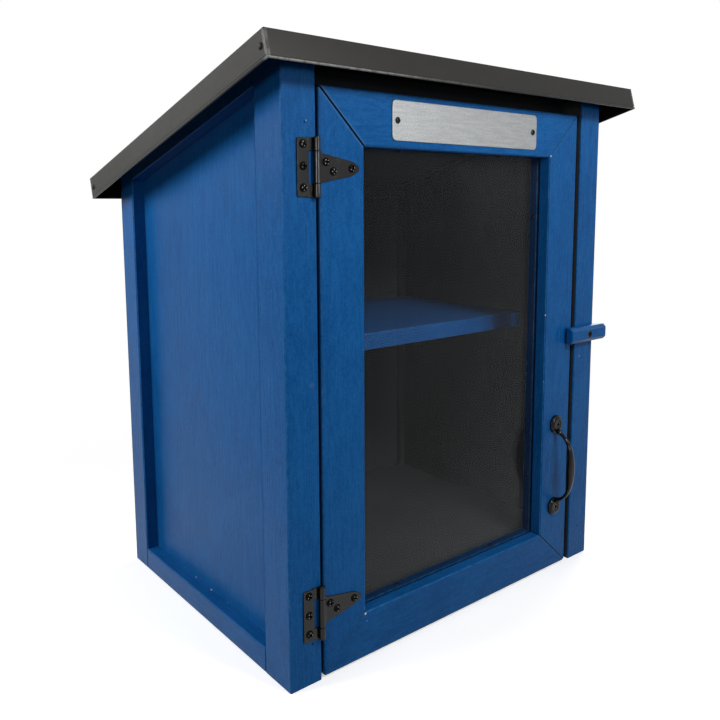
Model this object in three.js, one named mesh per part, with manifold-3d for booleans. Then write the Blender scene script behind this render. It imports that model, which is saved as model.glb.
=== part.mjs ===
// Street book exchange box: a framed and painted timber cabinet with a pitched sheet-metal roof, a
// glazed door on two T-hinges, a pull handle, a bare sign plate and a wooden turn button.
// Millimetres, +Z up, the front faces -Y. Pieces are laid out from the cabinet's front left bottom
// corner; the outermost group moves the origin to the middle of the footprint, at the underside.

import * as THREE from 'three';
import { mergeVertices } from 'three/addons/utils/BufferGeometryUtils.js';
import Module from 'manifold-3d';

const wasm = await Module();
wasm.setup();

// Cabinet frame
const width = 457;
const depth = 351;
const postWidth = 35.5;
const frontPostDepth = 43.5;
const rearPostDepth = 34.5;
const timberEase = 1.6;
const bottomRailHeight = 25;
const rearRailDepth = 35.5;
const rearTopRailHeight = 25;
const sillDepth = 19;
const headerDepth = 35.5;
const headerDrop = 48.1; // from the roof's front height to the header's lower edge
const topRailDrop = 16.6; // plumb, from the roof's upper face to the side rails' lower edge
const panelRecess = 14;
const panelThickness = 12;
const floorThickness = 12;

// Shelf
const shelfFront = 92;
const shelfTop = 306;
const shelfThickness = 19;
const cleatWidth = 16;
const cleatHeight = 19;
const cleatSetback = 12;

// Roof
const roofHeight = 583.1; // upper face at the front edge
const roofFrontOverhang = 22.6;
const roofRearOverhang = 19.3;
const roofSideOverhang = 30.2;
const roofAngle = THREE.MathUtils.degToRad(14.9);
const fasciaHeight = 24.8;
const sheetThickness = 1;
const hemHeight = 5;
const hemThickness = 2.2;
const cornerTabWidth = 16;
const deckThickness = 12;
const rivetInset = 8;
const rivetDrop = 12.6;
const rivetHeadRadius = 3;
const rivetHeadHeight = 1.2;
const rivetShankRadius = 1.6;
const rivetTailRadius = 2.4;
const rivetTailLength = 2;

// Door
const doorHingeGap = 3.5;
const doorLatchGap = 8.5;
const doorBottomGap = 1.9;
const doorBackGap = 1;
const doorTopDrop = 34.5; // from the roof's front height to the door's top
const doorThickness = 27.2;
const doorEase = 1.8;
const doorStileWidth = 50.5;
const doorTopRailWidth = 49.8;
const doorBottomRailWidth = 46.5;
const rabbetWidth = 8;
const lipDepth = 13.8;
const paneThickness = 3;
const paneClearance = 1;
const mitreGap = 0.3;

// Sign plate
const signWidth = 213;
const signHeight = 37.3;
const signThickness = 1.2;
const signCornerRadius = 5;
const signScrewInset = 6.5;
const signShift = 3.2; // right of the door's middle
const signLift = 0.8; // above the middle of the door's top rail

// T-hinges
const upperHingeDrop = 46.3; // door's top to the leaf's top
const lowerHingeRise = 43.7; // door's bottom to the leaf's bottom
const hingeSheet = 1.5;
const leafWidth = 12.2;
const leafHeight = 48;
const leafToPin = 7.2;
const pinSetback = 1.5; // pin's centre from the post's inner face
const pinRadius = 1.5;
const pinHeadRadius = 2.3;
const pinHeadHeight = 1.2;
const barrelRadius = 3.1;
const barrelOverhang = 1.6;
const knuckleHeight = 27.7;
const knuckleGap = 0.4;
const strapToPin = 5;
const strapLength = 48.5; // pin's centre to the strap's tip
const strapRootHeight = 26.1;
const strapEndHeight = 12.4;
const strapNoseRadius = 4.5;
const strapShoulder = 2.4;
const leafScrewShares = [0.09, 0.48, 0.865]; // of the leaf's height, from its top
const strapScrewShares = [[0.225, 0.39], [0.39, -0.23], [0.82, 0]]; // of the length, of half the root

// Pull handle
const handleInset = 26.2; // screws' centre line from the door's latch edge
const handleRise = 77.8; // lower screw above the door's lower edge
const handleCentres = 103.2;
const handleBow = 24.3;
const barHalfWidth = 5.7;
const barEndHalfWidth = 2.8;
const barHalfDepth = 2.5;
const footRadius = 10.8;
const footDepth = 4.5;
const footRimDepth = 0.8;
const barHeightShares = [0.92, 0.86, 0.79, 0.67, 0.48, 0.24, 0]; // of half the centres, from the middle
const barBowShares = [0.2, 0.42, 0.61, 0.81, 0.93, 0.985, 1]; // of the bow
const barSwell = 2.5; // how soon the bar narrows towards its ends
const footRadiusShares = [0, 0.62, 0.8, 0.94, 1, 1, 0]; // front to back
const footDepthShares = [1, 1, 0.87, 0.53, footRimDepth / footDepth, 0, 0];

// Turn button
const buttonLength = 68.8;
const buttonHeight = 19;
const buttonThickness = 12;
const buttonGap = 0.5;
const buttonScrewInset = 22.9; // from the cabinet's right side
const buttonScrewHeight = 289;
const buttonChamfer = 4.2;
const buttonBackChamfer = 2.8;
const buttonEndChamfer = 1.2;

// Screws
const hingeScrew = { headRadius: 3.8, headHeight: 2, shankRadius: 1.6, length: 14 };
const signScrew = { headRadius: 3.2, headHeight: 1.5, shankRadius: 1.2, length: 10 };
const handleScrew = { headRadius: 3.6, headHeight: 2.2, shankRadius: 1.7, length: 20 };
const buttonScrew = { headRadius: 4, headHeight: 2.6, shankRadius: 2, length: 30 };
const screwTip = 3;
const slotWidth = 0.9;
const slotDepthShare = 0.6;
const slotLengthShare = 0.62;
const panRadiusShares = [0, 0.55, 0.85, 1, 1];
const panHeightShares = [1, 0.95, 0.7, 0.3, 0];

// Fits and cuts
const seatGap = 0.3; // where pieces meet on a slope or on a round
const overrun = 2; // how far a cutting solid runs past what it cuts
const easeSteps = 3;
const roundSides = 16;
const barSides = 14;
const barSteps = 24;

// Places that the sizes give
const innerLeft = panelRecess + panelThickness;
const frameRight = width - postWidth;
const rearPostFront = depth - rearPostDepth;
const rearPanelFront = depth - innerLeft;
const frameFront = doorThickness + doorBackGap;
const roofLeft = -roofSideOverhang;
const roofRight = width + roofSideOverhang;
const roofLength = (roofFrontOverhang + depth + roofRearOverhang) / Math.cos(roofAngle);
const door = {
  left: postWidth + doorHingeGap,
  right: frameRight - doorLatchGap,
  bottom: doorBottomGap,
  top: roofHeight - doorTopDrop,
};
const opening = {
  left: door.left + doorStileWidth,
  right: door.right - doorStileWidth,
  bottom: door.bottom + doorBottomRailWidth,
  top: door.top - doorTopRailWidth,
};
const rabbet = {
  left: opening.left - rabbetWidth,
  right: opening.right + rabbetWidth,
  bottom: opening.bottom - rabbetWidth,
  top: opening.top + rabbetWidth,
};
const pinX = postWidth - pinSetback;
const pinY = -barrelRadius - seatGap;
const leafTops = {
  upper: door.top - upperHingeDrop,
  lower: door.bottom + lowerHingeRise + leafHeight,
};
const handleX = door.right - handleInset;
const handleHeights = {
  upper: door.bottom + handleRise + handleCentres,
  lower: door.bottom + handleRise,
};
const signX = (door.left + door.right) / 2 + signShift;
const signZ = door.top - doorTopRailWidth / 2 + signLift;
const buttonX = width - buttonScrewInset;
const buttonFront = -buttonGap - buttonThickness;

// Roof lines: plumb heights at a distance from the front
const plumb = (thickness) => thickness / Math.cos(roofAngle);
const roofTopAt = (y) => roofHeight - (y + roofFrontOverhang) * Math.tan(roofAngle);
const frameTopAt = (x, y) => roofTopAt(y) - plumb(sheetThickness + seatGap);
const deckBottomAt = (x, y) => frameTopAt(x, y) - plumb(deckThickness);
const topRailBottomAt = (x, y) => roofTopAt(y) - topRailDrop;
const sidePanelTopAt = (x, y) => topRailBottomAt(x, y) - seatGap;

// Finishes
const bluePaint = new THREE.MeshStandardMaterial({ color: '#1c4f93', roughness: 0.5, metalness: 0 });
const insidePaint = new THREE.MeshStandardMaterial({ color: '#34383d', roughness: 0.7, metalness: 0 });
const blackMetal = new THREE.MeshStandardMaterial({ color: '#1d1d1f', roughness: 0.4, metalness: 0.6 });
const signMetal = new THREE.MeshStandardMaterial({ color: '#b4b7bb', roughness: 0.35, metalness: 0.9 });
const clearPane = new THREE.MeshStandardMaterial({
  color: '#dfe6ea', roughness: 0.05, metalness: 0, transparent: true, opacity: 0.25,
});

// Groups
const part = new THREE.Group();
const cabinet = new THREE.Group();
const roof = new THREE.Group();
const doorGroup = new THREE.Group();
const buttonGroup = new THREE.Group();
const frontReach = roofFrontOverhang + fasciaHeight * Math.sin(roofAngle);
part.position.set(-width / 2, (frontReach - depth - roofRearOverhang) / 2, 0);
roof.position.set(0, -roofFrontOverhang, roofHeight);
roof.rotation.x = -roofAngle;
cabinet.add(roof);
part.add(cabinet, doorGroup, buttonGroup);

function add(group, name, geometry, material) {
  geometry.computeVertexNormals();
  const mesh = new THREE.Mesh(geometry, material.clone());
  mesh.name = name;
  group.add(mesh);
}

// Solids for cutting and joining
function solidOf(geometry) {
  const bare = new THREE.BufferGeometry();
  bare.setAttribute('position', geometry.getAttribute('position'));
  bare.setIndex(geometry.getIndex());
  const merged = mergeVertices(bare);
  const corners = merged.getIndex().array;
  const triangles = [];
  for (let i = 0; i < corners.length; i += 3) {
    const [a, b, c] = corners.slice(i, i + 3);
    if (a !== b && b !== c && c !== a) triangles.push(a, b, c);
  }
  return new wasm.Manifold(new wasm.Mesh({
    numProp: 3,
    vertProperties: new Float32Array(merged.getAttribute('position').array),
    triVerts: new Uint32Array(triangles),
  }));
}

function geometryOf(solid) {
  const mesh = solid.getMesh();
  const geometry = new THREE.BufferGeometry();
  geometry.setAttribute('position', new THREE.BufferAttribute(mesh.vertProperties, 3));
  geometry.setIndex(new THREE.BufferAttribute(mesh.triVerts, 1));
  return geometry.toNonIndexed();
}

function cut(geometry, tools) {
  return geometryOf(tools.reduce((solid, tool) => solid.subtract(solidOf(tool)), solidOf(geometry)));
}

const join = (geometries) => geometryOf(geometries.map(solidOf).reduce((a, b) => a.add(b)));
const overlap = (a, b) => geometryOf(solidOf(a).intersect(solidOf(b)));

// A block between two corners
function block(x0, x1, y0, y1, z0, z1) {
  const geometry = new THREE.BoxGeometry();
  const position = geometry.getAttribute('position');
  for (let i = 0; i < position.count; i += 1) {
    position.setXYZ(
      i,
      position.getX(i) < 0 ? Math.min(x0, x1) : Math.max(x0, x1),
      position.getY(i) < 0 ? y0 : y1,
      position.getZ(i) < 0 ? z0 : z1,
    );
  }
  return geometry;
}

// An outline carried along an axis. Its two directions are the other axes in cyclic order: y and z
// for the x axis, z and x for the y axis, x and y for the z axis. An end may be a function of them.
function extruded(axis, outline, from, to) {
  const geometry = new THREE.ExtrudeGeometry(outline, {
    depth: 1, bevelEnabled: false, curveSegments: easeSteps,
  });
  const position = geometry.getAttribute('position');
  for (let i = 0; i < position.count; i += 1) {
    const u = position.getX(i);
    const v = position.getY(i);
    const end = position.getZ(i) > 0 ? to : from;
    const w = typeof end === 'function' ? end(u, v) : end;
    if (axis === 'x') position.setXYZ(i, w, u, v);
    if (axis === 'y') position.setXYZ(i, v, w, u);
    if (axis === 'z') position.setXYZ(i, u, v, w);
  }
  return geometry;
}

const polygon = (points) => new THREE.Shape(points.map(([u, v]) => new THREE.Vector2(u, v)));
const rectangle = (u0, u1, v0, v1) => polygon([[u0, v0], [u1, v0], [u1, v1], [u0, v1]]);

function easedRectangle(u0, u1, v0, v1, ease) {
  const outline = new THREE.Shape();
  outline.moveTo(u0 + ease, v0);
  outline.lineTo(u1 - ease, v0);
  outline.quadraticCurveTo(u1, v0, u1, v0 + ease);
  outline.lineTo(u1, v1 - ease);
  outline.quadraticCurveTo(u1, v1, u1 - ease, v1);
  outline.lineTo(u0 + ease, v1);
  outline.quadraticCurveTo(u0, v1, u0, v1 - ease);
  outline.lineTo(u0, v0 + ease);
  outline.quadraticCurveTo(u0, v0, u0 + ease, v0);
  return outline;
}

// A round piece about the y axis, from points of radius and place, lowest place first
function turned(points, sides = roundSides) {
  return new THREE.LatheGeometry(points.map(([r, y]) => new THREE.Vector2(r, y)), sides);
}

// Flats of a round hole stay clear of the round piece inside it
const holeRadius = (radius) => (radius + seatGap) / Math.cos(Math.PI / roundSides);

// A round cutting solid along y, from one place to another
function drill(x, z, radius, from, to) {
  const geometry = new THREE.CylinderGeometry(radius, radius, to - from, roundSides);
  return geometry.translate(x, (from + to) / 2, z);
}

// Screws lie along y with the head at the front and its underside at zero
function slots(headFront, headRadius, headHeight) {
  const reach = headRadius * slotLengthShare;
  const bottom = headFront + headHeight * slotDepthShare;
  const front = headFront - overrun;
  return [
    block(-reach, reach, front, bottom, -slotWidth / 2, slotWidth / 2),
    block(-slotWidth / 2, slotWidth / 2, front, bottom, -reach, reach),
  ];
}

function panScrew({ headRadius, headHeight, shankRadius, length }) {
  const head = panRadiusShares.map((share, i) => [share * headRadius, -panHeightShares[i] * headHeight]);
  const shank = [[shankRadius, 0], [shankRadius, length - screwTip], [0, length]];
  return cut(turned([...head, ...shank]), slots(-headHeight, headRadius, headHeight));
}

// A countersunk screw's head is flush: its face is at zero
function countersunkScrew({ headRadius, headHeight, shankRadius, length }) {
  const profile = [
    [0, 0], [headRadius, 0], [shankRadius, headHeight], [shankRadius, length - screwTip], [0, length],
  ];
  return cut(turned(profile), slots(0, headRadius, headHeight));
}

// The hole that a countersunk screw passes through, its mouth at the screw's face
function countersink({ headRadius, headHeight, shankRadius }, through) {
  const mouth = holeRadius(headRadius);
  const shank = holeRadius(shankRadius);
  const profile = [
    [0, -overrun], [mouth, -overrun], [mouth, 0], [shank, headHeight], [shank, through], [0, through],
  ];
  return turned(profile);
}

function pilotHole(x, z, screw, front) {
  return drill(x, z, holeRadius(screw.shankRadius), front - overrun, front + screw.length + overrun);
}

// Holes through a plate that lies against the front, for its screws
function plateHoles(places, screw, thickness) {
  const radius = holeRadius(screw.shankRadius);
  return places.map(([x, z]) => drill(x, z, radius, -thickness - overrun, overrun));
}

// Places of the hinge screws, in x and z
const leafScrewX = pinX - leafToPin - leafWidth / 2;
const leafScrews = (top) => leafScrewShares.map((share) => [leafScrewX, top - share * leafHeight]);
const strapScrews = (top) => strapScrewShares.map(([along, up]) => [
  pinX + along * strapLength,
  top - leafHeight / 2 + (up * strapRootHeight) / 2,
]);
const signScrews = [-1, 1].map((side) => [signX + side * (signWidth / 2 - signScrewInset), signZ]);
const tops = Object.values(leafTops);

// Cabinet, left and right
for (const side of ['left', 'right']) {
  const at = (x) => (side === 'left' ? x : width - x);
  const outside = Math.min(at(0), at(postWidth));
  const inside = outside + postWidth;
  const post = (y0, y1) => extruded('z', easedRectangle(outside, inside, y0, y1, timberEase), 0, frameTopAt);
  const holes = side === 'left'
    ? tops.flatMap(leafScrews).map(([x, z]) => pilotHole(x, z, hingeScrew, 0))
    : [pilotHole(buttonX, buttonScrewHeight, buttonScrew, buttonFront)];
  add(cabinet, `front_${side}_post`, cut(post(0, frontPostDepth), holes), bluePaint);
  add(cabinet, `rear_${side}_post`, post(rearPostFront, depth), bluePaint);

  const railOutline = easedRectangle(0, bottomRailHeight, outside, inside, timberEase);
  const rail = extruded('y', railOutline, frontPostDepth, rearPostFront);
  add(cabinet, `${side}_bottom_rail`, rail, bluePaint);

  const topRailPlan = rectangle(at(0), at(postWidth), frontPostDepth, rearPostFront);
  add(cabinet, `${side}_top_rail`, extruded('z', topRailPlan, topRailBottomAt, frameTopAt), bluePaint);

  const panelPlan = rectangle(at(panelRecess), at(innerLeft), frontPostDepth, rearPostFront);
  const panel = extruded('z', panelPlan, bottomRailHeight, sidePanelTopAt);
  add(cabinet, `${side}_side_panel`, panel, bluePaint);

  const cleat = block(
    at(innerLeft), at(innerLeft + cleatWidth), shelfFront + cleatSetback, rearPostFront,
    shelfTop - shelfThickness - cleatHeight, shelfTop - shelfThickness,
  );
  add(cabinet, `${side}_shelf_cleat`, cleat, insidePaint);
}

// Cabinet, front and rear
const sillOutline = easedRectangle(frameFront, frameFront + sillDepth, 0, bottomRailHeight, timberEase);
add(cabinet, 'front_sill', extruded('x', sillOutline, postWidth, frameRight), bluePaint);
const rearRailOutline = easedRectangle(depth - rearRailDepth, depth, 0, bottomRailHeight, timberEase);
add(cabinet, 'rear_bottom_rail', extruded('x', rearRailOutline, postWidth, frameRight), bluePaint);

const headerBottom = roofHeight - headerDrop;
const headerPlan = rectangle(postWidth, frameRight, frameFront, frameFront + headerDepth);
add(cabinet, 'front_header', extruded('z', headerPlan, headerBottom, frameTopAt), bluePaint);

const rearTopRailBottom = frameTopAt(0, depth) - rearTopRailHeight;
const rearTopRailPlan = rectangle(postWidth, frameRight, depth - rearRailDepth, depth);
add(cabinet, 'rear_top_rail', extruded('z', rearTopRailPlan, rearTopRailBottom, frameTopAt), bluePaint);

const rearPanel = block(
  postWidth, frameRight, rearPanelFront, depth - panelRecess, bottomRailHeight, rearTopRailBottom,
);
add(cabinet, 'rear_panel', rearPanel, bluePaint);

// Floor and shelf are notched round the posts: half an outline, mirrored
function mirroredPlan(leftHalf) {
  const rightHalf = leftHalf.map(([x, y]) => [width - x, y]).reverse();
  return polygon([...leftHalf, ...rightHalf]);
}

const rearCorner = [
  [innerLeft, rearPostFront], [postWidth, rearPostFront], [postWidth, rearPanelFront],
];
const floorPlan = mirroredPlan([
  [postWidth, frameFront], [postWidth, frontPostDepth], [innerLeft, frontPostDepth], ...rearCorner,
]);
const floorTop = bottomRailHeight + floorThickness;
add(cabinet, 'floor_panel', extruded('z', floorPlan, bottomRailHeight, floorTop), insidePaint);
const shelfPlan = mirroredPlan([[innerLeft, shelfFront], ...rearCorner]);
add(cabinet, 'shelf', extruded('z', shelfPlan, shelfTop - shelfThickness, shelfTop), bluePaint);

// Roof deck, let in between the top rails
const deckPlan = rectangle(postWidth, frameRight, frameFront + headerDepth, depth - rearRailDepth);
add(cabinet, 'roof_deck', extruded('z', deckPlan, deckBottomAt, frameTopAt), insidePaint);

// Roof cap: a folded tray, its lower edge hemmed inwards and its corners tabbed. In the roof's group
// y runs down the slope and z is square to it.
function roofCap(rivetHoles) {
  const hemTop = hemHeight - fasciaHeight;
  const tabEnds = [[0, cornerTabWidth], [roofLength - cornerTabWidth, roofLength]];
  const tabs = [roofLeft + sheetThickness, roofRight - sheetThickness].flatMap((wall) => (
    tabEnds.map(([y0, y1]) => block(wall - sheetThickness, wall + sheetThickness, y0, y1, -fasciaHeight, 0))
  ));
  const room = cut(block(
    roofLeft + sheetThickness, roofRight - sheetThickness,
    sheetThickness, roofLength - sheetThickness, hemTop, -sheetThickness,
  ), tabs);
  const mouth = block(
    roofLeft + hemThickness, roofRight - hemThickness,
    hemThickness, roofLength - hemThickness, -fasciaHeight - overrun, hemTop + overrun,
  );
  const tray = block(roofLeft, roofRight, 0, roofLength, -fasciaHeight, 0);
  return cut(tray, [room, mouth, ...rivetHoles]);
}

// Rivets hold each corner's tab to the side. Their axis is x, their head outside.
const rivetPlaces = ['left', 'right'].flatMap((side) => ['front', 'rear'].map((end) => ({
  name: `roof_rivet_${end}_${side}`,
  x: side === 'left' ? roofLeft : roofRight,
  turn: side === 'left' ? Math.PI / 2 : -Math.PI / 2,
  y: end === 'front' ? rivetInset : roofLength - rivetInset,
})));
const seated = ({ x, y, turn }, geometry) => geometry.rotateZ(-turn).translate(x, y, -rivetDrop);
const gripLength = 2 * sheetThickness + seatGap;
const rivetProfile = [
  ...panRadiusShares.map((share, i) => [
    share * rivetHeadRadius, -seatGap - panHeightShares[i] * rivetHeadHeight,
  ]),
  [rivetShankRadius, -seatGap], [rivetShankRadius, gripLength],
  [rivetTailRadius, gripLength], [rivetTailRadius, gripLength + rivetTailLength],
  [0, gripLength + rivetTailLength],
];
const rivetHoles = rivetPlaces.map((place) => seated(
  place, drill(0, 0, holeRadius(rivetShankRadius), -overrun, gripLength + overrun),
));
add(roof, 'roof_cap', roofCap(rivetHoles), blackMetal);
for (const place of rivetPlaces) {
  add(roof, place.name, seated(place, turned(rivetProfile)), blackMetal);
}

// Door members: an eased front, and a rabbet behind for the pane. place orders the two directions.
function memberProfile(outer, inner, place) {
  const inward = Math.sign(inner - outer);
  const wall = inner - inward * rabbetWidth;
  const outline = new THREE.Shape();
  outline.moveTo(...place(outer, doorThickness));
  outline.lineTo(...place(outer, doorEase));
  outline.quadraticCurveTo(...place(outer, 0), ...place(outer + inward * doorEase, 0));
  outline.lineTo(...place(inner - inward * doorEase, 0));
  outline.quadraticCurveTo(...place(inner, 0), ...place(inner, doorEase));
  outline.lineTo(...place(inner, lipDepth));
  outline.lineTo(...place(wall, lipDepth));
  outline.lineTo(...place(wall, doorThickness));
  return outline;
}

// Each end follows its mitre, from the door's corner to the opening's
const mitreSetback = mitreGap / Math.SQRT2;
const mitre = (outer, inner, from, to) => (at) => THREE.MathUtils.mapLinear(at, outer, inner, from, to);

function doorStile(side) {
  const outer = door[side];
  const inner = opening[side];
  const foot = mitre(outer, inner, door.bottom, opening.bottom);
  const head = mitre(outer, inner, door.top, opening.top);
  const profile = memberProfile(outer, inner, (across, back) => [across, back]);
  return extruded('z', profile, (x) => foot(x) + mitreSetback, (x) => head(x) - mitreSetback);
}

function doorRail(side) {
  const outer = door[side];
  const inner = opening[side];
  const left = mitre(outer, inner, door.left, opening.left);
  const right = mitre(outer, inner, door.right, opening.right);
  const profile = memberProfile(outer, inner, (across, back) => [back, across]);
  return extruded('x', profile, (y, z) => left(z) + mitreSetback, (y, z) => right(z) - mitreSetback);
}

const strapPilots = tops.flatMap(strapScrews).map(([x, z]) => pilotHole(x, z, hingeScrew, 0));
const handlePlaces = Object.values(handleHeights);
const handlePilots = handlePlaces.map((z) => pilotHole(handleX, z, handleScrew, -footDepth));
const signPilots = signScrews.map(([x, z]) => pilotHole(x, z, signScrew, 0));
add(doorGroup, 'door_left_stile', cut(doorStile('left'), strapPilots), bluePaint);
add(doorGroup, 'door_right_stile', cut(doorStile('right'), handlePilots), bluePaint);
add(doorGroup, 'door_top_rail', cut(doorRail('top'), signPilots), bluePaint);
add(doorGroup, 'door_bottom_rail', doorRail('bottom'), bluePaint);

// Pane behind the lip, and beads behind the pane
const beadFront = lipDepth + paneThickness;
const pane = block(
  rabbet.left + paneClearance, rabbet.right - paneClearance, lipDepth, beadFront,
  rabbet.bottom + paneClearance, rabbet.top - paneClearance,
);
add(doorGroup, 'door_pane', pane, clearPane);
const bead = (x0, x1, z0, z1) => block(x0, x1, beadFront, doorThickness, z0, z1);
const beads = {
  left: bead(rabbet.left, opening.left, opening.bottom, opening.top),
  right: bead(opening.right, rabbet.right, opening.bottom, opening.top),
  top: bead(rabbet.left, rabbet.right, opening.top, rabbet.top),
  bottom: bead(rabbet.left, rabbet.right, rabbet.bottom, opening.bottom),
};
for (const [side, geometry] of Object.entries(beads)) {
  add(doorGroup, `${side}_glazing_bead`, geometry, bluePaint);
}

// Sign plate
const signOutline = easedRectangle(
  signZ - signHeight / 2, signZ + signHeight / 2, signX - signWidth / 2, signX + signWidth / 2,
  signCornerRadius,
);
const signPlate = extruded('y', signOutline, -signThickness, 0);
add(doorGroup, 'sign_plate', cut(signPlate, plateHoles(signScrews, signScrew, signThickness)), signMetal);
signScrews.forEach(([x, z], i) => {
  add(doorGroup, `sign_screw_${i + 1}`, panScrew(signScrew).translate(x, -signThickness, z), signMetal);
});

// T-hinges: a leaf on the post, a strap on the door, knuckles round one pin
function knuckle(z0, z1) {
  const bore = holeRadius(pinRadius);
  const ring = [[bore, z0], [barrelRadius, z0], [barrelRadius, z1], [bore, z1], [bore, z0]];
  return turned(ring).rotateX(Math.PI / 2).translate(pinX, pinY, 0);
}

function hingePlate(outline, places) {
  return cut(extruded('y', outline, -hingeSheet, 0), plateHoles(places, hingeScrew, hingeSheet));
}

function hingeLeaf(top) {
  const bottom = top - leafHeight;
  const right = pinX - leafToPin;
  const left = right - leafWidth;
  const tab = (leafHeight - knuckleHeight) / 2 - knuckleGap / 2;
  const outline = polygon([
    [top, left], [top, pinX], [top - tab, pinX], [top - tab, right],
    [bottom + tab, right], [bottom + tab, pinX], [bottom, pinX], [bottom, left],
  ]);
  return join([
    hingePlate(outline, leafScrews(top)),
    knuckle(top - tab, top + barrelOverhang),
    knuckle(bottom - barrelOverhang, bottom + tab),
  ]);
}

function hingeStrap(top) {
  const middle = top - leafHeight / 2;
  const rootHalf = knuckleHeight / 2 - knuckleGap / 2;
  const root = pinX + strapToPin;
  const nose = pinX + strapLength - strapNoseRadius;
  const outline = new THREE.Shape();
  outline.moveTo(middle - rootHalf, pinX);
  outline.lineTo(middle - rootHalf, root);
  outline.lineTo(middle - strapRootHeight / 2, root);
  outline.lineTo(middle - strapEndHeight / 2, nose - strapShoulder);
  outline.lineTo(middle - strapNoseRadius, nose);
  outline.absarc(middle, nose, strapNoseRadius, Math.PI, 0, true);
  outline.lineTo(middle + strapEndHeight / 2, nose - strapShoulder);
  outline.lineTo(middle + strapRootHeight / 2, root);
  outline.lineTo(middle + rootHalf, root);
  outline.lineTo(middle + rootHalf, pinX);
  return join([
    hingePlate(outline, strapScrews(top)),
    knuckle(middle - rootHalf, middle + rootHalf),
  ]);
}

function hingePin(top) {
  const high = top + barrelOverhang;
  const low = top - leafHeight - barrelOverhang;
  const profile = [
    [0, low - pinHeadHeight], [pinHeadRadius / 2, low - pinHeadHeight], [pinHeadRadius, low],
    [pinRadius, low], [pinRadius, high],
    [pinHeadRadius, high], [pinHeadRadius / 2, high + pinHeadHeight], [0, high + pinHeadHeight],
  ];
  return turned(profile).rotateX(Math.PI / 2).translate(pinX, pinY, 0);
}

for (const [level, top] of Object.entries(leafTops)) {
  add(cabinet, `${level}_hinge_leaf`, hingeLeaf(top), blackMetal);
  add(cabinet, `${level}_hinge_pin`, hingePin(top), blackMetal);
  add(doorGroup, `${level}_hinge_strap`, hingeStrap(top), blackMetal);
  leafScrews(top).forEach(([x, z], i) => {
    const screw = panScrew(hingeScrew).translate(x, -hingeSheet, z);
    add(cabinet, `${level}_leaf_screw_${i + 1}`, screw, blackMetal);
  });
  strapScrews(top).forEach(([x, z], i) => {
    const screw = panScrew(hingeScrew).translate(x, -hingeSheet, z);
    add(doorGroup, `${level}_strap_screw_${i + 1}`, screw, blackMetal);
  });
}

// Pull handle: a unit cylinder bent along the bow, with a domed foot at each end
function handleBar() {
  const middle = (handleHeights.upper + handleHeights.lower) / 2;
  const upperHalf = barHeightShares.map((share, i) => (
    [(share * handleCentres) / 2, -barBowShares[i] * handleBow]
  ));
  const lowerHalf = upperHalf.slice(0, -1).reverse().map(([rise, y]) => [-rise, y]);
  const curve = new THREE.CatmullRomCurve3(
    [...upperHalf, ...lowerHalf].map(([rise, y]) => new THREE.Vector3(handleX, y, middle + rise)),
  );
  const geometry = new THREE.CylinderGeometry(1, 1, 1, barSides, barSteps);
  const position = geometry.getAttribute('position');
  const across = new THREE.Vector3(1, 0, 0);
  for (let i = 0; i < position.count; i += 1) {
    const along = Math.min(Math.max(1 / 2 - position.getY(i), 0), 1);
    const swell = Math.max(Math.sin(Math.PI * along), 0) ** barSwell;
    const halfWidth = THREE.MathUtils.lerp(barEndHalfWidth, barHalfWidth, swell);
    const outward = new THREE.Vector3().crossVectors(curve.getTangent(along), across);
    const point = curve.getPoint(along);
    point.addScaledVector(across, position.getX(i) * halfWidth);
    point.addScaledVector(outward, position.getZ(i) * barHalfDepth);
    position.setXYZ(i, point.x, point.y, point.z);
  }
  return geometry;
}

const footProfile = footRadiusShares.map((share, i) => [share * footRadius, -footDepthShares[i] * footDepth]);
const feet = handlePlaces.map((z) => turned(footProfile).translate(handleX, 0, z));
const footHoles = handlePlaces.map((z) => (
  countersink(handleScrew, footDepth + overrun).translate(handleX, -footDepth, z)
));
add(doorGroup, 'door_handle', cut(join([handleBar(), ...feet]), footHoles), blackMetal);
for (const [level, z] of Object.entries(handleHeights)) {
  const screw = countersunkScrew(handleScrew).translate(handleX, -footDepth, z);
  add(doorGroup, `${level}_handle_screw`, screw, blackMetal);
}

// Turn button: its long front edges and its ends are chamfered
function turnButton() {
  const left = buttonX - buttonLength / 2;
  const right = buttonX + buttonLength / 2;
  const top = buttonScrewHeight + buttonHeight / 2;
  const bottom = buttonScrewHeight - buttonHeight / 2;
  const section = polygon([
    [-buttonGap, bottom], [-buttonGap, top], [buttonFront + buttonChamfer, top],
    [buttonFront, top - buttonChamfer], [buttonFront, bottom + buttonChamfer],
    [buttonFront + buttonChamfer, bottom],
  ]);
  const plan = polygon([
    [left, -buttonGap - buttonBackChamfer], [left + buttonBackChamfer, -buttonGap],
    [right - buttonBackChamfer, -buttonGap], [right, -buttonGap - buttonBackChamfer],
    [right, buttonFront + buttonEndChamfer], [right - buttonEndChamfer, buttonFront],
    [left + buttonEndChamfer, buttonFront], [left, buttonFront + buttonEndChamfer],
  ]);
  const bar = overlap(extruded('x', section, left, right), extruded('z', plan, bottom, top));
  const hole = countersink(buttonScrew, buttonThickness + overrun);
  return cut(bar, [hole.translate(buttonX, buttonFront, buttonScrewHeight)]);
}

add(buttonGroup, 'turn_button', turnButton(), bluePaint);
const fixing = countersunkScrew(buttonScrew).translate(buttonX, buttonFront, buttonScrewHeight);
add(cabinet, 'turn_button_screw', fixing, blackMetal);

export default part;
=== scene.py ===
import math
from functools import partialmethod

import bmesh
import bpy
import numpy as np
from mathutils import Matrix, Vector


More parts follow.
